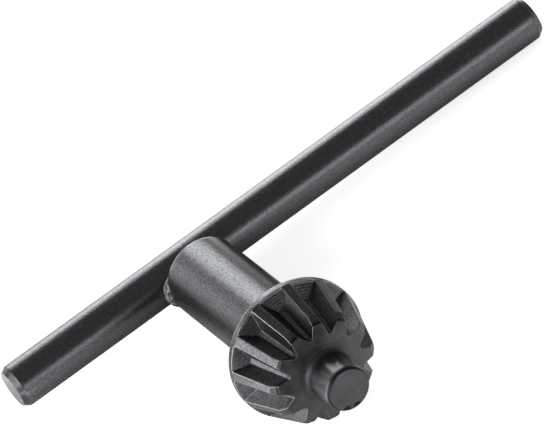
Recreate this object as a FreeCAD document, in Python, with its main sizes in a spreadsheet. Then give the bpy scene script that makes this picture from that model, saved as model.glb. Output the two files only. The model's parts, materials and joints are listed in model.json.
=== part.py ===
import FreeCAD, Part
import math
import os

import Sketcher

# Drill chuck key: a turned pinion with twelve bevel teeth and a pilot pin,
# butt welded to the side of a plain round crossbar.
#
# Both pieces are drawn about the point where their axes cross: the crossbar lies along X
# and the pinion stands on Z. The whole key is then laid down as it comes to rest, on the
# edge of the rim, the foot of the shank and the end of the long arm.

# Driving sizes, in millimetres and degrees
SIZES = {
    # crossbar
    "bar_diameter": 8.0,
    "short_arm": 36.85,
    "long_arm": 73.15,
    "bar_chamfer_length": 1.1,
    "bar_chamfer_depth": 0.7,
    # weld between the crossbar and the shank
    "weld_gap": 1.4,
    "bead_diameter": 10.6,
    "bead_thickness": 2.4,
    "bead_sink": 0.5,
    "bead_bevel": 0.6,
    # lump of metal squeezed out of the weld towards the short arm
    "flash_diameter": 6.4,
    "flash_shift": 4.35,
    "flash_thickness": 2.3,
    "flash_sink": 0.75,
    "flash_bevel": 0.65,
    # shank
    "shank_diameter": 13.6,
    "shank_length": 31.8,
    "shank_end_chamfer": 0.3,
    # rim behind the teeth
    "rim_diameter": 24.3,
    "rim_width": 1.35,
    "rim_edge_chamfer": 0.25,
    "rim_lip": 0.35,
    "back_wall_run": 3.0,
    "back_wall_rise": 1.9,
    # teeth
    "tooth_count": 12,
    "tooth_length": 8.15,
    "tooth_end_diameter": 19.5,
    "tooth_nose_length": 1.4,
    "tooth_nose_depth": 1.05,
    "gap_depth_back": 2.25,
    "gap_floor_width_back": 1.1,
    "gap_flank_angle_back": 41.5,
    "gap_depth_front": 2.45,
    "gap_floor_width_front": 0.55,
    "gap_flank_angle_front": 33.0,
    "tip_bevel_depth": 0.2,
    "tip_bevel_angle": 58.0,
    # front face and pilot
    "front_face_rise": 0.95,
    "pilot_diameter": 7.9,
    "pilot_length": 6.9,
    "pilot_root_fillet": 1.3,
    "pilot_end_round": 0.85,
}

# How far the cutting sections stand clear of the metal that they cut
CUT_CLEARANCE = 0.2
# How closely an edge must match the radius and height that it is found by
EDGE_MATCH = 1e-4
# Cones that stand for the rounded edge of the pilot's end
END_STEPS = 3


class Size:
    """A length that remembers how it is worked out from the sheet."""

    def __init__(self, value, text):
        self.value = value
        self.text = text

    @staticmethod
    def of(other):
        return other if isinstance(other, Size) else Size(float(other), repr(float(other)))

    def __add__(self, other):
        other = Size.of(other)
        return Size(self.value + other.value, f"({self.text} + {other.text})")

    def __sub__(self, other):
        other = Size.of(other)
        return Size(self.value - other.value, f"({self.text} - {other.text})")

    def __mul__(self, other):
        other = Size.of(other)
        return Size(self.value * other.value, f"({self.text} * {other.text})")

    def __truediv__(self, other):
        other = Size.of(other)
        return Size(self.value / other.value, f"({self.text} / {other.text})")

    def __neg__(self):
        return Size(-self.value, f"(-1 * {self.text})")

    def tangent(self):
        return Size(math.tan(math.radians(self.value)), f"tan({self.text} * 1 deg)")


def size(alias):
    return Size(float(SIZES[alias]), f"sizes.{alias}")


ZERO = Size(0.0, "0")


def make_sheet(doc):
    sheet = doc.addObject("Spreadsheet::Sheet", "sizes")
    for row, (alias, value) in enumerate(SIZES.items(), start=1):
        sheet.set(f"A{row}", alias.replace("_", " "))
        sheet.set(f"B{row}", str(value))
        sheet.setAlias(f"B{row}", alias)
    doc.recompute()


def origin_feature(body, role):
    return next(f for f in body.Origin.OriginFeatures if f.Role == role)


def new_body(doc, name):
    body = doc.addObject("PartDesign::Body", name)
    body.Label = name
    return body


def new_sketch(body, name, plane, lift=ZERO, shift=ZERO):
    """Empty sketch on an origin plane, lifted along its normal and shifted along its X."""
    sketch = body.newObject("Sketcher::SketchObject", name)
    sketch.AttachmentSupport = [(origin_feature(body, plane), "")]
    sketch.MapMode = "FlatFace"
    sketch.AttachmentOffset = FreeCAD.Placement(
        FreeCAD.Vector(shift.value, 0, lift.value), FreeCAD.Rotation())
    sketch.setExpression("AttachmentOffset.Base.x", shift.text)
    sketch.setExpression("AttachmentOffset.Base.z", lift.text)
    return sketch


def hold(sketch, direction, line, distance):
    """Hold the start of a line at a distance from the sketch's origin."""
    if distance is ZERO:
        axis = -2 if direction == "DistanceX" else -1
        sketch.addConstraint(Sketcher.Constraint("PointOnObject", line, 1, axis))
        return
    if distance.value < 0:
        distance = -distance
        ends = (line, 1, -1, 1)
    else:
        ends = (-1, 1, line, 1)
    index = sketch.addConstraint(Sketcher.Constraint(direction, *ends, distance.value))
    sketch.setExpression(f"Constraints[{index}]", distance.text)


def draw_outline(sketch, corners):
    """Closed outline of straight lines, with both distances of each corner held."""
    points = [FreeCAD.Vector(x.value, y.value, 0) for x, y in corners]
    count = len(points)
    for i in range(count):
        sketch.addGeometry(Part.LineSegment(points[i], points[(i + 1) % count]))
    for i in range(count):
        sketch.addConstraint(Sketcher.Constraint("Coincident", i, 2, (i + 1) % count, 1))
    for i, (x, y) in enumerate(corners):
        hold(sketch, "DistanceX", i, x)
        hold(sketch, "DistanceY", i, y)
    return sketch


def draw_circle(sketch, radius):
    sketch.addGeometry(Part.Circle(FreeCAD.Vector(), FreeCAD.Vector(0, 0, 1), radius.value))
    sketch.addConstraint(Sketcher.Constraint("Coincident", 0, 3, -1, 1))
    index = sketch.addConstraint(Sketcher.Constraint("Radius", 0, radius.value))
    sketch.setExpression(f"Constraints[{index}]", radius.text)
    return sketch


def revolve(body, name, sketch, axis="V_Axis"):
    feature = body.newObject("PartDesign::Revolution", name)
    feature.Profile = sketch
    feature.ReferenceAxis = (sketch, [axis])
    feature.Angle = 360
    return feature


def circular_edges(shape, radius, height):
    """Names of the full circles about Z with this radius at this height."""
    names = []
    for number, edge in enumerate(shape.Edges, start=1):
        curve = edge.Curve
        if not isinstance(curve, Part.Circle):
            continue
        if abs(curve.Radius - radius) < EDGE_MATCH and abs(curve.Center.z - height) < EDGE_MATCH:
            names.append(f"Edge{number}")
    return names


# Heights above the crossbar's axis, along the pinion, and radii
bar_radius = size("bar_diameter") / 2
shank_radius = size("shank_diameter") / 2
rim_radius = size("rim_diameter") / 2
tooth_end_radius = size("tooth_end_diameter") / 2
nose_radius = tooth_end_radius - size("tooth_nose_depth")
pilot_radius = size("pilot_diameter") / 2

shank_foot = bar_radius + size("weld_gap")
rim_back = shank_foot + size("shank_length")
rim_front = rim_back + size("rim_width")
tooth_end = rim_front + size("tooth_length")
nose_end = tooth_end + size("tooth_nose_length")
pilot_root = nose_end + size("front_face_rise")
pilot_tip = pilot_root + size("pilot_length")

# The cone of the teeth, carried on to the height of the pilot's root
cone_taper = (rim_radius - tooth_end_radius) / size("tooth_length")
cone_front_radius = rim_radius - cone_taper * (pilot_root - rim_front)


def make_crossbar(doc):
    """Plain round bar, turned down a little at both ends."""
    body = new_body(doc, "crossbar")
    left = -size("short_arm")
    right = size("long_arm")
    length = size("bar_chamfer_length")
    end_radius = bar_radius - size("bar_chamfer_depth")
    corners = [
        (left, ZERO),
        (left, end_radius),
        (left + length, bar_radius),
        (right - length, bar_radius),
        (right, end_radius),
        (right, ZERO),
    ]
    profile = draw_outline(new_sketch(body, "bar_profile", "XY_Plane"), corners)
    body.Tip = revolve(body, "bar", profile, "H_Axis")
    return body


def rounded_end(radius, tip, bend):
    """Corners of a rounded edge, turned in equal steps from the side wall to the end face."""
    corners = []
    for step in range(END_STEPS + 1):
        angle = math.pi / 2 * step / END_STEPS
        back = bend * round(1 - math.cos(angle), 9)
        drop = bend * round(1 - math.sin(angle), 9)
        corners.append((radius - back, tip - drop))
    return corners


def add_turned_blank(doc, body):
    """Shank, rim, tooth cone, front face and pilot, turned as one profile."""
    edge = size("rim_edge_chamfer")
    corners = [
        (ZERO, shank_foot),
        (shank_radius - size("shank_end_chamfer"), shank_foot),
        (shank_radius, shank_foot + size("shank_end_chamfer")),
        (shank_radius, rim_back),
        (rim_radius - edge, rim_back),
        (rim_radius, rim_back + edge),
        (rim_radius, rim_front),
        (tooth_end_radius, tooth_end),
        (nose_radius, nose_end),
        (pilot_radius, pilot_root),
        *rounded_end(pilot_radius, pilot_tip, size("pilot_end_round")),
        (ZERO, pilot_tip),
    ]
    profile = draw_outline(new_sketch(body, "turned_profile", "XZ_Plane"), corners)
    blank = revolve(body, "turned_blank", profile)
    doc.recompute()
    root = body.newObject("PartDesign::Fillet", "pilot_root")
    root.Base = (blank, circular_edges(blank.Shape, pilot_radius.value, pilot_root.value))
    root.setExpression("Radius", size("pilot_root_fillet").text)
    return root


def gap_section(body, name, height, land_radius, depth, floor_width, flank_angle):
    """Outline across one tooth gap: a narrow floor, two open flanks and a bevel at each land."""
    floor_radius = land_radius - depth
    bevel_radius = land_radius - size("tip_bevel_depth")
    mouth_radius = land_radius + CUT_CLEARANCE
    half_floor = floor_width / 2
    half_bevel = half_floor + (bevel_radius - floor_radius) * flank_angle.tangent()
    half_mouth = half_bevel + (mouth_radius - bevel_radius) * size("tip_bevel_angle").tangent()
    corners = [
        (floor_radius, -half_floor),
        (bevel_radius, -half_bevel),
        (mouth_radius, -half_mouth),
        (mouth_radius, half_mouth),
        (bevel_radius, half_bevel),
        (floor_radius, half_floor),
    ]
    return draw_outline(new_sketch(body, name, "XY_Plane", lift=height), corners)


def add_tooth_gaps(doc, body):
    """Tapered gaps, cut forwards from the rim, that leave the teeth between them."""
    back = gap_section(
        body, "gap_back", rim_front, rim_radius, size("gap_depth_back"),
        size("gap_floor_width_back"), size("gap_flank_angle_back"))
    front = gap_section(
        body, "gap_front", pilot_root, cone_front_radius, size("gap_depth_front"),
        size("gap_floor_width_front"), size("gap_flank_angle_front"))
    gap = body.newObject("PartDesign::SubtractiveLoft", "tooth_gap")
    gap.Profile = back
    gap.Sections = [front]
    gap.Ruled = True
    doc.recompute()
    ring = body.newObject("PartDesign::PolarPattern", "tooth_gaps")
    ring.Originals = [gap]
    ring.Axis = (origin_feature(body, "Z_Axis"), [""])
    ring.Angle = 360
    ring.setExpression("Occurrences", "sizes.tooth_count")
    body.Tip = ring
    doc.recompute()
    return ring


def add_back_wall(doc, body):
    """Turned cone behind the teeth, which closes each gap and leaves a narrow lip on the rim."""
    lip_radius = rim_radius - size("rim_lip")
    foot_radius = lip_radius - size("back_wall_run")
    corners = [
        (foot_radius, rim_front),
        (lip_radius, rim_front),
        (foot_radius, rim_front + size("back_wall_rise")),
    ]
    profile = draw_outline(new_sketch(body, "back_wall_profile", "XZ_Plane"), corners)
    return revolve(body, "back_wall", profile)


def add_bevelled_disc(body, name, shift=ZERO):
    """Flat round lump between shank and crossbar, sunk a little into the shank."""
    radius = size(f"{name}_diameter") / 2
    bevel = size(f"{name}_bevel")
    top = shank_foot + size(f"{name}_sink")
    bottom = top - size(f"{name}_thickness")
    corners = [
        (ZERO, bottom),
        (radius - bevel, bottom),
        (radius, bottom + bevel),
        (radius, top - bevel),
        (radius - bevel, top),
        (ZERO, top),
    ]
    sketch = new_sketch(body, f"{name}_profile", "XZ_Plane", shift=shift)
    return revolve(body, name, draw_outline(sketch, corners))


def add_weld(doc, body):
    """Upset bead between shank and crossbar, and the flash squeezed out of it on one side."""
    add_bevelled_disc(body, "bead")
    lumps = add_bevelled_disc(body, "flash", -size("flash_shift"))
    doc.recompute()
    seat = body.newObject("PartDesign::Pocket", "bar_seat")
    seat.Profile = draw_circle(new_sketch(body, "seat_section", "YZ_Plane"), bar_radius)
    seat.Type = "ThroughAll"
    seat.Midplane = True
    doc.recompute()
    return lumps, seat


def make_pinion(doc):
    body = new_body(doc, "pinion")
    add_turned_blank(doc, body)
    before = body.Shape.Volume
    add_tooth_gaps(doc, body)
    cut = before - body.Shape.Volume
    wall = add_back_wall(doc, body)
    body.Tip = wall
    doc.recompute()
    lumps, seat = add_weld(doc, body)
    body.Tip = seat
    doc.recompute()
    seated = lumps.Shape.Volume - seat.Shape.Volume
    print(f"tooth gaps take {cut:.1f} mm3, the bar seat takes {seated:.1f} mm3")
    return body


def lay_at_rest(pieces):
    """Lay the key on its three lowest points: the rim, the foot of the shank and the long arm's end."""
    rim_touch = rim_back.value + SIZES["rim_edge_chamfer"]
    foot_touch = shank_foot.value + SIZES["shank_end_chamfer"]
    arm_touch = SIZES["long_arm"] - SIZES["bar_chamfer_length"]
    rise = math.atan2(rim_radius.value - shank_radius.value, rim_touch - foot_touch)
    height = shank_radius.value * math.cos(rise) - foot_touch * math.sin(rise)
    reach = math.hypot(arm_touch, bar_radius.value)
    droop = math.asin(height / reach) - math.atan2(bar_radius.value, arm_touch)

    up = FreeCAD.Vector(-math.sin(droop), 0, math.sin(rise))
    up.y = math.sqrt(1 - up.x ** 2 - up.z ** 2)
    turn = FreeCAD.Rotation(FreeCAD.Vector(1, 0, 0), FreeCAD.Vector(), up, "ZXY").inverted()
    forward = -turn.multVec(FreeCAD.Vector(0, 0, 1)).y
    tip_radius = pilot_radius.value - SIZES["pilot_end_round"]
    front = pilot_tip.value * forward + tip_radius * math.sqrt(1 - forward ** 2)
    middle = (SIZES["long_arm"] - SIZES["short_arm"]) / 2 * math.cos(droop)
    crossing = FreeCAD.Vector(-middle, (front - bar_radius.value) / 2, height)
    for piece in pieces:
        piece.Placement = FreeCAD.Placement(crossing, turn)
    print(f"shank rises {math.degrees(rise):.3f} degrees, long arm droops {math.degrees(droop):.3f} degrees, "
          f"the axes cross at {tuple(round(v, 3) for v in crossing)}")


def check(doc, pieces):
    for item in doc.Objects:
        if "Invalid" in item.State or "Error" in item.State:
            raise RuntimeError(f"{item.Name} failed: {item.State}")
    for piece in pieces:
        if piece.Shape.isNull() or not piece.Shape.isValid():
            raise RuntimeError(f"{piece.Label} has no valid shape")


doc = FreeCAD.newDocument("ChuckKey")
make_sheet(doc)
crossbar = make_crossbar(doc)
pinion = make_pinion(doc)
pieces = (crossbar, pinion)
lay_at_rest(pieces)
doc.recompute()
check(doc, pieces)

os.makedirs("parts", exist_ok=True)
for piece in pieces:
    piece.Shape.exportStep(f"parts/{piece.Label}.step")
    box = piece.Shape.optimalBoundingBox(False)
    print(f"{piece.Label}: {len(piece.Shape.Solids)} solid, {piece.Shape.Volume:.1f} mm3, "
          f"{box.XLength:.2f} x {box.YLength:.2f} x {box.ZLength:.2f} mm, lowest {box.ZMin:.3f}")
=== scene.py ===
import json
from math import cos, degrees, pi, radians, sin

import bpy
from mathutils import Euler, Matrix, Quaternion, Vector

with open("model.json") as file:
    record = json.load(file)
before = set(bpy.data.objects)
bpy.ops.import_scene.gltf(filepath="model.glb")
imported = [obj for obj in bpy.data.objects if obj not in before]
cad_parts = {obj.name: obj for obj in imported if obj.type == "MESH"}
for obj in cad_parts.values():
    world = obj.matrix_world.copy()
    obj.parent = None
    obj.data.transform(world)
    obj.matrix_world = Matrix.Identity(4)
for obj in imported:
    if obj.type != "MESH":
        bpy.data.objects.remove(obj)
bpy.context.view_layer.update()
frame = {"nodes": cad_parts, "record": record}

# %% [markdown]
# # A drill chuck key in black-oxide steel
#
# The key has two pieces: a round crossbar and a pinion, which is the shank, the toothed
# head and the pilot pin turned from one bar. Both come from the solid model and keep
# their shape. What this scene adds is the finish, the light and the camera.
#
# Patterns on metal follow the way each surface was cut, so they need to know where the
# shank's axis and the crossbar's axis run. Both can be worked out from the pilot pin's
# mount, which is better than typing them in: if the model is laid down another way,
# the marks turn with it.

# %% Where the two axes run
MM = 0.001
PILOT_MIDDLE = 52.608 * MM     # from the crossbar's axis to the middle of the pilot's wall

pilot = next(m for m in frame["record"]["mounts"] if m["name"] == "pilot")
shank_axis = Vector(pilot["axis"]).normalized()
bar_axis = Vector((shank_axis.z, 0, -shank_axis.x)).normalized()
side_axis = bar_axis.cross(shank_axis)
crossing = Vector(pilot["pos_m"]) - shank_axis * PILOT_MIDDLE
print("axes cross at", [round(v / MM, 2) for v in crossing], "mm")

# %% [markdown]
# ## Colours and nodes
#
# Colours are written as on a paint chart, in sRGB hex. Blender computes with linear
# light, so one function converts them. A second function adds a node, sets its fields
# and fills or links its sockets, which keeps each material short to read. A finish is
# then built as a painter would build it: a base, and layers laid over it through masks.

# %% Colour and node helpers
MIX_SOCKETS = {"FLOAT": (2, 3, 0), "RGBA": (6, 7, 2)}    # A, B and the result of a Mix node


def linear(hex_colour):
    """Linear RGBA of an sRGB hex colour such as 5A5B5D."""
    def channel(text):
        value = int(text, 16) / 255
        return value / 12.92 if value <= 0.04045 else ((value + 0.055) / 1.055) ** 2.4
    return tuple(channel(hex_colour[i:i + 2]) for i in (0, 2, 4)) + (1.0,)


def add(tree, kind, sockets=None, **settings):
    """Add a node. A value that is a node or an output of one is linked, any other is set."""
    made = tree.nodes.new(kind)
    for name, value in settings.items():
        setattr(made, name, value)
    for name, value in (sockets or {}).items():
        if isinstance(value, bpy.types.Node):
            value = value.outputs[0]
        if isinstance(value, bpy.types.NodeSocket):
            tree.links.new(value, made.inputs[name])
        else:
            made.inputs[name].default_value = value
    return made


def layered(tree, base, *layers, data_type="FLOAT"):
    """Lay each value over what is below it, where its mask is 1."""
    below, above, result = MIX_SOCKETS[data_type]
    for mask, value in layers:
        sockets = {"Factor": mask, below: base, above: value}
        base = add(tree, "ShaderNodeMix", sockets, data_type=data_type).outputs[result]
    return base


def new_material(name):
    """A material with an empty node tree, and the tree."""
    material = bpy.data.materials.new(name)
    material.use_nodes = True
    material.node_tree.nodes.clear()
    return material, material.node_tree


print("the paint chart's middle grey is", round(linear("808080")[0], 3), "in linear light")

# %% [markdown]
# ## Camera
#
# The photograph was taken from far away with a long lens, looking down on the key at
# about 43 degrees with the camera rolled, so the crossbar climbs to the right. A camera
# could be aimed with a tracking constraint, but that would lose the roll. Placed by its
# position and turn, it repeats the view exactly.

# %% Camera
CAMERA_PLACE = Vector((-196.58, -686.52, 699.07)) * MM
CAMERA_TURN = (43.593, 18.791, -34.022)     # degrees
LENS = 398.8                                # millimetres
SENSOR = 36.0                               # millimetres
NEAREST_SEEN = 0.05                         # metres
FARTHEST_SEEN = 20                          # metres

lens = bpy.data.cameras.new("camera")
lens.lens = LENS
lens.sensor_width = SENSOR
lens.clip_start = NEAREST_SEEN
lens.clip_end = FARTHEST_SEEN
camera = bpy.data.objects.new("camera", lens)
camera.location = CAMERA_PLACE
camera.rotation_euler = Euler([radians(v) for v in CAMERA_TURN])
bpy.context.collection.objects.link(camera)
bpy.context.scene.camera = camera
print("camera stands", round((CAMERA_PLACE - crossing).length, 3), "m from the key")

# %% [markdown]
# ## Studio
#
# Dark glossy metal is drawn by what it reflects. The photograph's crossbar and shank
# work like two curved mirrors, and each band across them gives the direction of a
# light: a tall tilted panel behind the key, a dimmer one behind it to the left, a low
# wide one near the camera, a very wide one on the left that mostly the teeth and the
# pilot see, and nothing bright overhead. An environment picture could do the same, but
# four area lamps of those sizes in those directions are easier to move one by one.

# %% Panels of light
def direction(azimuth, elevation):
    """Unit vector; azimuth 0 is towards -Y and 90 towards +X."""
    a, e = radians(azimuth), radians(elevation)
    return Vector((sin(a) * cos(e), -cos(a) * cos(e), sin(e)))


def panel(name, azimuth, elevation, distance, width, height, radiance, roll=0.0):
    """Soft rectangular lamp that faces the key; radiance 1 looks white in a mirror."""
    light = bpy.data.lights.new(name, "AREA")
    light.shape = "RECTANGLE"
    light.size = width
    light.size_y = height
    light.energy = radiance * pi * width * height
    lamp = bpy.data.objects.new(name, light)
    away = direction(azimuth, elevation)
    lamp.location = away * distance
    facing_key = away.to_track_quat("Z", "Y") @ Quaternion((0, 0, 1), radians(roll))
    lamp.rotation_euler = facing_key.to_euler()
    bpy.context.collection.objects.link(lamp)
    print(name, "stands", distance, "m away and gives", round(light.energy, 2), "W")


panel("back_panel", azimuth=166, elevation=19, distance=1.0,
      width=0.44, height=0.66, radiance=6.5, roll=-24)
panel("back_left_panel", azimuth=-159, elevation=10, distance=1.1,
      width=0.70, height=0.60, radiance=2.4)
panel("left_panel", azimuth=-94, elevation=20, distance=0.9,
      width=1.06, height=0.74, radiance=4.6)
panel("front_panel", azimuth=17, elevation=16, distance=1.2,
      width=0.74, height=0.46, radiance=2.3)

# %% [markdown]
# ## Table and room
#
# The key lies on a table covered with white paper. More lamps would make the paper
# white enough, but they would also wash out the soft shadow and the dark bands on the
# metal. So the paper glows for the camera, on top of the light that falls on it.
#
# The metal mirrors the same paper, and its mirrored rays see a glow of their own: painted
# light. It fades near the key, where the key shades the paper, and for these rays the
# paper's colour darkens there too: a painted contact shadow. It is stronger in a patch of
# painted light that runs up to the left panel, which the lands of the lower teeth mirror,
# and in a painted strip of light behind the bar, which the back of the bar mirrors.
#
# Blender usually lays a film curve over the picture, which greys white paper. The plain
# view keeps every colour as it is computed.

# %% Table
TABLE_WHITE = "F2F2F2"
TABLE_SIZE = 1.6               # metres
PAPER_ROUGHNESS = 0.9
PAPER_SHINE = 0.2              # specular level; paper mirrors less than the usual 0.5

bpy.ops.mesh.primitive_plane_add(size=TABLE_SIZE)
table = bpy.context.object
table.name = "table"
print("the table is", TABLE_SIZE, "m wide")

# %% Glow of the paper as the metal mirrors it: painted light and painted contact shade
MIRROR_GLOW = 0.70             # what a mirrored ray sees added to the lit paper
CONTACT_REACH = 25 * MM        # how far the key darkens the paper that it mirrors
CONTACT_POWER = 1.5
# painted light: patches where the paper that the metal mirrors glows brighter
PAINTED_LIGHT_PATCHES = (               # glow, and the millimetres of X or Y between which it fades in
    (4.5, (("X", -47, -58), ("Y", -20, -8), ("Y", 8, 0))),
    (2.0, (("Y", 33, 45), ("Y", 80, 60))),
)

paper, tree = new_material("white_table_paper_with_painted_light")
ground = add(tree, "ShaderNodeSeparateXYZ", {
    "Vector": add(tree, "ShaderNodeTexCoord").outputs["Object"]})
mirror_glow = MIRROR_GLOW
for patch, fades in PAINTED_LIGHT_PATCHES:
    for axis, start, end in fades:
        fade = add(tree, "ShaderNodeMapRange", {
            "Value": ground.outputs[axis], "From Min": start * MM, "From Max": end * MM})
        patch = add(tree, "ShaderNodeMath", {0: fade, 1: patch}, operation="MULTIPLY")
    mirror_glow = add(tree, "ShaderNodeMath", {0: mirror_glow, 1: patch}, operation="ADD")
# painted contact shade: the glow that the metal mirrors fades where the key hides the sky
open_sky = add(tree, "ShaderNodeAmbientOcclusion", {"Distance": CONTACT_REACH}, samples=4)
shade = add(tree, "ShaderNodeMath", {
    0: open_sky.outputs["AO"], 1: CONTACT_POWER}, operation="POWER")
mirror_glow = add(tree, "ShaderNodeMath", {0: mirror_glow, 1: shade}, operation="MULTIPLY")
print("the paper glows in", len(PAINTED_LIGHT_PATCHES), "patches that only the metal sees")

# %% Paper, for the camera and for the metal
CAMERA_GLOW = 0.72             # what the camera sees added to the lit paper, almost white

rays = add(tree, "ShaderNodeLightPath")
mirrored = add(tree, "ShaderNodeMath", {
    0: rays.outputs["Is Glossy Ray"], 1: rays.outputs["Is Transmission Ray"]}, operation="ADD")
mirror_glow = add(tree, "ShaderNodeMath", {0: mirror_glow, 1: mirrored}, operation="MULTIPLY")
glow = add(tree, "ShaderNodeMath", {
    0: rays.outputs["Is Camera Ray"], 1: CAMERA_GLOW, 2: mirror_glow}, operation="MULTIPLY_ADD")
# painted contact shadow: for mirrored rays the paper's colour darkens near the key
painted_contact_shadow = layered(tree, 1.0, (mirrored, shade))
colour = add(tree, "ShaderNodeVectorMath", {
    0: linear(TABLE_WHITE)[:3], "Scale": painted_contact_shadow}, operation="SCALE")
cover = add(tree, "ShaderNodeBsdfPrincipled", {
    "Base Color": colour, "Roughness": PAPER_ROUGHNESS, "Specular IOR Level": PAPER_SHINE,
    "Emission Color": (1, 1, 1, 1), "Emission Strength": glow})
add(tree, "ShaderNodeOutputMaterial", {"Surface": cover})
table.data.materials.append(paper)
print(paper.name, "has", len(tree.nodes), "nodes")

# %% The dark room
ROOM_GREY = 0.23

room = bpy.data.worlds.new("room")
bpy.context.scene.world = room
room.use_nodes = True
tree = room.node_tree
tree.nodes.clear()
walls = add(tree, "ShaderNodeBackground", {"Color": (1, 1, 1, 1), "Strength": ROOM_GREY})
add(tree, "ShaderNodeOutputWorld", {"Surface": walls})

bpy.context.scene.view_settings.view_transform = "Standard"
print("the room is", ROOM_GREY, "as bright as white")

# %% [markdown]
# ## Black oxide on steel
#
# The key's steel was blackened in a hot salt bath, which turns its skin into a
# thin layer of magnetite. The layer takes no thickness, so the marks of the tools show
# through: it is a dark satin metal. In the shader it is mostly metallic with a dark
# grey colour; magnetite also scatters a little light, which keeps deep gaps from going
# quite black. Along sharp edges the layer wears off first and brighter steel shows.
#
# Every finish below is that one skin. What differs is the relief that the tools left,
# the roughness and the wear. So the parts that they share come first: places on the key
# in millimetres, masks past an edge, grain, and the skin itself.

# %% Places on the key, as sockets
def key_places(tree):
    """Millimetres from the crossing, along the bar and the shank and round the shank."""
    here = add(tree, "ShaderNodeTexCoord").outputs["Object"]
    there = add(tree, "ShaderNodeVectorMath", {0: here, 1: crossing}, operation="SUBTRACT")
    place = {}
    for name, axis in (("bar", bar_axis), ("shank", shank_axis), ("side", side_axis)):
        along = add(tree, "ShaderNodeVectorMath", {
            0: there, 1: axis / MM}, operation="DOT_PRODUCT")
        place[name] = along.outputs["Value"]
    across = add(tree, "ShaderNodeCombineXYZ", {"X": place["bar"], "Y": place["side"]})
    radius = add(tree, "ShaderNodeVectorMath", {0: across}, operation="LENGTH")
    place["across"] = across.outputs["Vector"]
    place["radius"] = radius.outputs["Value"]
    return place


def facing(tree, axis):
    """Cosine between a face's normal and an axis."""
    face = add(tree, "ShaderNodeNewGeometry").outputs["True Normal"]
    lean = add(tree, "ShaderNodeVectorMath", {0: face, 1: axis}, operation="DOT_PRODUCT")
    return lean.outputs["Value"]


print("the shank stands", round(degrees(shank_axis.angle(bar_axis)), 1), "degrees from the bar")

# %% Masks and grain
def past_edges(tree, place, edges):
    """A mask for each edge, 0 before it and 1 past it."""
    masks = {}
    for name, (measure, edge, softness) in edges.items():
        masks[name] = add(tree, "ShaderNodeMapRange", {
            "Value": place[measure], "From Min": edge - softness, "From Max": edge + softness})
    return masks


def between(tree, start, *ends):
    """Past the start but not past any of the ends."""
    for end in ends:
        start = add(tree, "ShaderNodeMath", {
            0: start, 1: end}, operation="SUBTRACT", use_clamp=True)
    return start


FINE_SHARE = 0.6               # how much each finer layer of the noise counts


def grain(tree, place, sizes, detail=2.0):
    """Noise whose grains have these sizes in millimetres along bar, side and shank."""
    scaled = {}
    for axis, name, size in zip("XYZ", ("bar", "side", "shank"), sizes):
        scaled[axis] = add(tree, "ShaderNodeMath", {
            0: place[name], 1: size}, operation="DIVIDE")
    return add(tree, "ShaderNodeTexNoise", {
        "Vector": add(tree, "ShaderNodeCombineXYZ", scaled),
        "Scale": 1.0, "Detail": detail, "Roughness": FINE_SHARE})


print("each finer layer of the grain counts", FINE_SHARE, "as much as the one before")

# %% The skin that all surfaces share
WORN_STEEL = "A3A3A2"
OXIDE_METALLIC = 0.93          # clean steel would be 1, and the oxide scatters a little
GRAZING_TINT = "E6E6E6"        # the oxide mirrors less than clean steel at a grazing angle
RELIEF_DEPTH = 0.02 * MM       # from trough to crest of the relief
MARKS_SHARE = 0.6              # height of the tools' marks beside the oxide's own tooth
WEAR_START = 0.01              # how far the rounded normal has turned, 0 on a flat face
WEAR_FULL = 0.10


def oxide_skin(tree, oxide, relief, roughness, edge_round, wear_and_highlight):
    """Black-oxide steel with rounded edges, where worn steel shows, partly as painted highlight."""
    rounded = add(tree, "ShaderNodeBevel", {"Radius": edge_round}, samples=8)
    flat = add(tree, "ShaderNodeNewGeometry").outputs["Normal"]
    alike = add(tree, "ShaderNodeVectorMath", {0: rounded, 1: flat}, operation="DOT_PRODUCT")
    worn = add(tree, "ShaderNodeMapRange", {
        "Value": alike.outputs["Value"], "From Min": 1 - WEAR_START, "From Max": 1 - WEAR_FULL,
        "To Max": wear_and_highlight})
    colour = layered(tree, oxide, (worn, linear(WORN_STEEL)), data_type="RGBA")
    bump = add(tree, "ShaderNodeBump", {
        "Height": relief, "Strength": 1.0, "Distance": RELIEF_DEPTH, "Normal": rounded})
    skin = add(tree, "ShaderNodeBsdfPrincipled", {
        "Base Color": colour, "Metallic": OXIDE_METALLIC, "Roughness": roughness,
        "Specular Tint": linear(GRAZING_TINT), "Normal": bump})
    add(tree, "ShaderNodeOutputMaterial", {"Surface": skin})


def speckled(tree, noise, dark, light, spread):
    """Colour that runs from dark to light with a noise, within this spread of its middle."""
    amount = add(tree, "ShaderNodeMapRange", {
        "Value": noise, "From Min": 0.5 - spread, "From Max": 0.5 + spread})
    return layered(tree, linear(dark), (amount, linear(light)), data_type="RGBA")


print("the oxide is", OXIDE_METALLIC, "metallic")

# %% [markdown]
# ### The crossbar
#
# The bar is drawn stock: pulled through a die, so its marks run lengthwise and its
# gloss is a little streaky. Brushed metal is often drawn with anisotropic gloss, but
# these marks are too faint and too few for that. Long stretched noise gives them, and a
# fine even grain gives the oxide's own tooth. A real tooth is some hundredths of a
# millimetre, which wouldn't show, so it is drawn ten times as coarse. The chamfer of the
# short arm is given a darker, mottled colour.

# %% Crossbar finish
DRAW_LINES = (3.0, 0.3, 0.3)   # millimetres along bar, side and shank
BAR_TOOTH = (0.3, 0.3, 0.3)
BAR_CLOUDS = (6.0, 3.0, 3.0)
BAR_SMOOTH = 0.22              # roughness
BAR_DULL = 0.32
BAR_DARK = "454648"
BAR_LIGHT = "626365"
CHAMFER_DARK = "2E2F31"
CHAMFER_LIGHT = "565759"
BAR_EDGES = {                  # measure, edge and softness, in millimetres or as a cosine
    "short_chamfer": ("bar", -35.8, 0.3),
    "short_end": ("lean", -0.9, 0.05),
}

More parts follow.
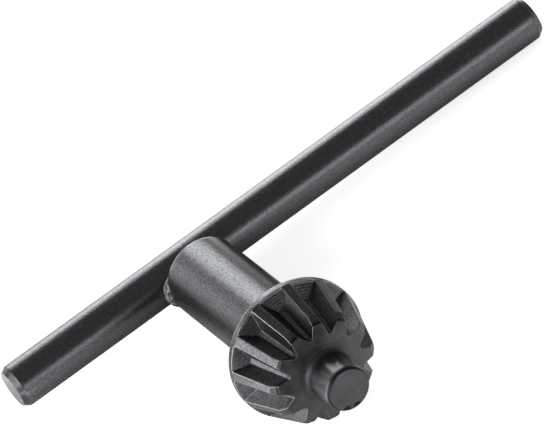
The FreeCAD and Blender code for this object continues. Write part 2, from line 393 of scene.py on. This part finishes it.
drawn, tree = new_material("black_oxide_drawn_steel")
place = key_places(tree)
place["lean"] = facing(tree, bar_axis)
past = past_edges(tree, place, BAR_EDGES)
lines = grain(tree, place, DRAW_LINES)
tooth = grain(tree, place, BAR_TOOTH)
cloud = grain(tree, place, BAR_CLOUDS)
relief = add(tree, "ShaderNodeMath", {
    0: lines, 1: MARKS_SHARE, 2: tooth}, operation="MULTIPLY_ADD")
on_chamfer = between(tree, past["short_end"], past["short_chamfer"])
oxide = speckled(tree, tooth, BAR_DARK, BAR_LIGHT, spread=0.2)
darker_chamfer = speckled(tree, cloud, CHAMFER_DARK, CHAMFER_LIGHT, spread=0.3)
oxide = layered(tree, oxide, (on_chamfer, darker_chamfer), data_type="RGBA")
roughness = layered(tree, BAR_SMOOTH, (cloud, BAR_DULL))
oxide_skin(tree, oxide, relief, roughness, edge_round=0.3 * MM, wear_and_highlight=0.4)
print(drawn.name, "has", len(tree.nodes), "nodes")

# %% [markdown]
# ### The pinion
#
# One bar was turned on a lathe to give the shank, the rim, the cone and the pilot, and
# then a milling cutter took out the gaps between the teeth. Turned faces carry fine
# rings round the axis, and milled ones carry lines along the tooth. The weld at the foot
# has a crust of scale.
#
# The faces could be painted by hand in a mask, but they can be told apart by where they
# are: height along the axis, radius, and how far the surface leans towards the axis. The
# relief, the roughness, the wear and the colour are each layered through those masks,
# which keeps the whole pinion in one material.

# %% Masks on the pinion
RIM_FRONT = 38.55
RIM_RADIUS = 12.15
CONE_TAPER = 0.2945            # the tooth cone narrows by this much per millimetre
FOOT = 5.37                    # the shank starts here, and the weld is below it
PINION_EDGES = {               # measure, edge and softness, in millimetres or as a cosine
    "foot": ("shank", FOOT, 0.02),
    # the foot's worn band is partly a painted highlight line
    "foot_edge": ("shank", 6.05, 0.05),          # worn bright up to here
    "foot_round": ("shank", FOOT + 1.6, 0.1),    # and rounded softly up to here
    "flash": ("shank", 8.0, 0.02),               # the lump of weld flash ends here
    "shank_side": ("radius", 6.84, 0.02),        # and stands out of the shank
    "rim_back": ("shank", 38.0, 0.1),
    "rim": ("shank", RIM_FRONT, 0.05),
    "lip": ("radius", 11.72, 0.05),              # the rim's outermost part
    "wall": ("shank", 41.0, 0.1),                # the teeth's back walls end before this
    "nose": ("shank", 46.6, 0.3),
    "teeth": ("shank", 47.6, 0.05),
    "root": ("shank", 50.3, 0.3),                # the fillet at the pilot's root ends here
    "root_side": ("radius", 5.3, 0.1),
    "pilot": ("shank", 49.3, 0.2),
    "pilot_edge": ("shank", 55.4, 0.08),         # the pilot's rounding starts here
    "land": ("depth", 0.45, 0.05),               # deeper below the cone lies a gap
    "end_face": ("lean", 0.75, 0.02),            # faces that look along the pilot
}

turned, tree = new_material("black_oxide_turned_steel")
place = key_places(tree)
place["lean"] = facing(tree, shank_axis)
from_rim = add(tree, "ShaderNodeMath", {0: place["shank"], 1: RIM_FRONT}, operation="SUBTRACT")
cone = add(tree, "ShaderNodeMath", {
    0: from_rim, 1: -CONE_TAPER, 2: RIM_RADIUS}, operation="MULTIPLY_ADD")
depth = add(tree, "ShaderNodeMath", {0: cone, 1: place["radius"]}, operation="SUBTRACT")
place["depth"] = depth.outputs[0]
past = past_edges(tree, place, PINION_EDGES)

flash = between(tree, past["shank_side"], past["flash"])
past_weld = between(tree, past["foot"], flash)
at_foot = between(tree, past_weld, past["foot_edge"])
back_wall = between(tree, past["end_face"], past["wall"])
in_gap = add(tree, "ShaderNodeMath", {0: past["land"], 1: past["rim"]}, operation="MULTIPLY")
in_gap = between(tree, in_gap, past["teeth"])
front_face = between(tree, past["teeth"], past["pilot"])
at_root = between(tree, past["teeth"], past["root_side"], past["root"])
print("the pinion is told apart by", len(past), "edges")

# %% Relief of the pinion: rings on turned faces, lines on milled ones, crust on the weld
TURNED_RINGS = (1.6, 1.6, 0.22)     # millimetres along bar, side and shank
RING_HEIGHT = 2.0
MILLED_LINES = (0.3, 0.3, 2.5)
PINION_TOOTH = (0.28, 0.28, 0.28)   # coarser than the real tooth, so that it shows
GROOVE_PITCH = 0.42                 # feed of the lathe tool, coarse enough to show
GROOVE_WANDER = 3.0
GROOVE_HEIGHT = 0.65
SPATTER = (0.45, 0.45, 0.45)
CRUST_HEIGHT = 24.0                 # the weld is that much rougher than a cut face

rings = grain(tree, place, TURNED_RINGS)
rings = add(tree, "ShaderNodeMath", {0: rings, 1: RING_HEIGHT}, operation="MULTIPLY")
milled = grain(tree, place, MILLED_LINES)
tooth = grain(tree, place, PINION_TOOTH)
turns = add(tree, "ShaderNodeMath", {
    0: place["radius"], 1: 2 * pi / GROOVE_PITCH}, operation="MULTIPLY")
wander = add(tree, "ShaderNodeMath", {
    0: milled, 1: GROOVE_WANDER, 2: turns}, operation="MULTIPLY_ADD")
grooves = add(tree, "ShaderNodeMath", {0: wander}, operation="SINE")
grooves = add(tree, "ShaderNodeMath", {0: grooves, 1: GROOVE_HEIGHT}, operation="MULTIPLY")
marks = layered(tree, rings, (past["rim"], milled), (back_wall, grooves))
relief = add(tree, "ShaderNodeMath", {
    0: marks, 1: MARKS_SHARE, 2: tooth}, operation="MULTIPLY_ADD")
spatter = grain(tree, place, SPATTER, detail=3.0)
crust = add(tree, "ShaderNodeMath", {0: spatter, 1: CRUST_HEIGHT}, operation="MULTIPLY")
relief = layered(tree, crust, (past_weld, relief))
print("grooves on the teeth's back walls stand", GROOVE_PITCH, "mm apart")

# %% Two nicks in the edge of the pilot's end
NICKS = ((-1.85, 3.1), (0.1, 3.55))    # millimetres along the crossbar and square to it
NICK_RADIUS = 0.75
NICK_SOFTNESS = 0.12
NICK_RAGGED = 0.6
NICK_HEIGHT = -12.0            # a nick lies below the skin

limit = NICK_RADIUS + NICK_RAGGED / 2
nicked = 0.0
for spot in NICKS:
    away = add(tree, "ShaderNodeVectorMath", {
        0: place["across"], 1: spot + (0,)}, operation="DISTANCE")
    ragged = add(tree, "ShaderNodeMath", {
        0: tooth, 1: NICK_RAGGED, 2: away.outputs["Value"]}, operation="MULTIPLY_ADD")
    sound = add(tree, "ShaderNodeMapRange", {
        "Value": ragged, "From Min": limit - NICK_SOFTNESS, "From Max": limit + NICK_SOFTNESS})
    nick = between(tree, past["pilot_edge"], sound)
    nicked = add(tree, "ShaderNodeMath", {0: nick, 1: nicked}, operation="MAXIMUM")
relief = add(tree, "ShaderNodeMath", {
    0: nicked, 1: NICK_HEIGHT, 2: relief}, operation="MULTIPLY_ADD")
print("the pilot's end has", len(NICKS), "nicks")

# %% Roughness, wear and rounding of the pinion
PINION_CLOUDS = (3.0, 3.0, 3.0)
SHANK_SMOOTH = 0.25
SHANK_DULL = 0.33
TEETH_ROUGHNESS = 0.30
PILOT_ROUGHNESS = 0.37
ROOT_ROUGHNESS = 0.50          # the fillet at the pilot's root is the dullest
WELD_ROUGHNESS = 0.42
EDGE_WEAR = 0.7                # share of the worn steel that shows along an edge
NOSE_WEAR = 0.35
SHARP_EDGE = 0.28 * MM
SOFT_EDGE = 1.1 * MM           # the rim's back and the shank's foot

cloud = grain(tree, place, PINION_CLOUDS)
roughness = layered(
    tree, SHANK_SMOOTH, (cloud, SHANK_DULL), (past["rim"], TEETH_ROUGHNESS),
    (past["pilot"], PILOT_ROUGHNESS), (at_root, ROOT_ROUGHNESS))
roughness = layered(tree, WELD_ROUGHNESS, (past_weld, roughness))
# partly painted highlight: full worn steel on the rim's lip and the shank's foot draws bright edge
# lines
wear_and_highlight = layered(
    tree, EDGE_WEAR, (past["nose"], NOSE_WEAR), (in_gap, 0.0), (past["lip"], 1.0), (at_foot, 1.0))
soft_edge = add(tree, "ShaderNodeMath", {
    0: between(tree, past["lip"], past["rim_back"]),
    1: between(tree, past_weld, past["foot_round"])}, operation="MAXIMUM")
edge_round = layered(tree, SHARP_EDGE, (soft_edge, SOFT_EDGE))
print("the pinion's edges are rounded by", [round(r / MM, 2) for r in (SHARP_EDGE, SOFT_EDGE)], "mm")

# %% Colour of the front face: darker, partly scale and partly painted shade, lighter on one side
FRONT_FACE_DARK = "1E1F20"
FRONT_FACE_LIGHT = "5C5D5F"
PAINTED_LIGHTER_SIDE = (0.5, 0.87, 0.0)   # along the crossbar and square to it
FACE_REACH = 7.0               # about the front face's radius

# painted shade: the front face's colour is lighter towards one side and darker towards the other
towards = add(tree, "ShaderNodeVectorMath", {
    0: place["across"], 1: PAINTED_LIGHTER_SIDE}, operation="DOT_PRODUCT")
painted_shade_gradient = add(tree, "ShaderNodeMapRange", {
    "Value": towards.outputs["Value"], "From Min": -FACE_REACH, "From Max": FACE_REACH})
patchy_with_painted_shade = add(tree, "ShaderNodeMath", {0: cloud, 1: painted_shade_gradient}, operation="ADD")
patchy_with_painted_shade = add(tree, "ShaderNodeMath", {0: patchy_with_painted_shade, 1: 0.5}, operation="MULTIPLY")
front_face_colour = speckled(tree, patchy_with_painted_shade, FRONT_FACE_DARK, FRONT_FACE_LIGHT, spread=0.35)
print("the scale thins over", 2 * FACE_REACH, "mm")

# %% Colour of the pilot: painted shade on its rounding, in its root fillet and in the nicks
PILOT_DARK = "434446"
PILOT_LIGHT = "646567"
PILOT_ROUNDING_PAINTED_SHADE = "2A2B2D"
PILOT_ROOT_PAINTED_SHADE = "3C3D3F"
PILOT_END_DARK = "343537"
PILOT_END_LIGHT = "5A5B5D"
NICK_PAINTED_SHADE = "1C1D1E"

pilot_wall = speckled(tree, cloud, PILOT_DARK, PILOT_LIGHT, spread=0.2)
pilot_end = speckled(tree, cloud, PILOT_END_DARK, PILOT_END_LIGHT, spread=0.5)
# painted shade: darker colour on the pilot's rounding, in the fillet at its root and in the nicks
pilot_colour_and_painted_shade = layered(
    tree, pilot_wall, (past["pilot_edge"], linear(PILOT_ROUNDING_PAINTED_SHADE)), (at_root, linear(PILOT_ROOT_PAINTED_SHADE)),
    (past["end_face"], pilot_end), (nicked, linear(NICK_PAINTED_SHADE)), data_type="RGBA")
print("the pilot's colours run from", NICK_PAINTED_SHADE, "to", PILOT_LIGHT)

# %% Colour of the whole pinion
OXIDE_DARK = "38393B"
OXIDE_LIGHT = "5E5F61"
WELD_DARK = "2A2B2C"
WELD_LIGHT = "9A9A98"

oxide = speckled(tree, tooth, OXIDE_DARK, OXIDE_LIGHT, spread=0.14)
oxide = layered(tree, oxide, (front_face, front_face_colour), (past["pilot"], pilot_colour_and_painted_shade), data_type="RGBA")
burnt = speckled(tree, spatter, WELD_DARK, WELD_LIGHT, spread=0.10)
oxide = layered(tree, burnt, (past_weld, oxide), data_type="RGBA")
oxide_skin(tree, oxide, relief, roughness, edge_round, wear_and_highlight)
print(turned.name, "has", len(tree.nodes), "nodes")

# %% [markdown]
# ## Dressing the two pieces
#
# The pieces came from the solid model with a plain material in their slots. A new
# material could go on the mesh or on the object. Linked to the object, it leaves the
# solid model's own data as it was.

# %% Put the finishes on the two pieces
FINISHES = {"crossbar": drawn, "pinion": turned}
for name, material in FINISHES.items():
    piece = frame["nodes"][name]
    for slot in piece.material_slots:
        slot.link = "OBJECT"
        slot.material = material
    print(name, "wears", [slot.material.name for slot in piece.material_slots])
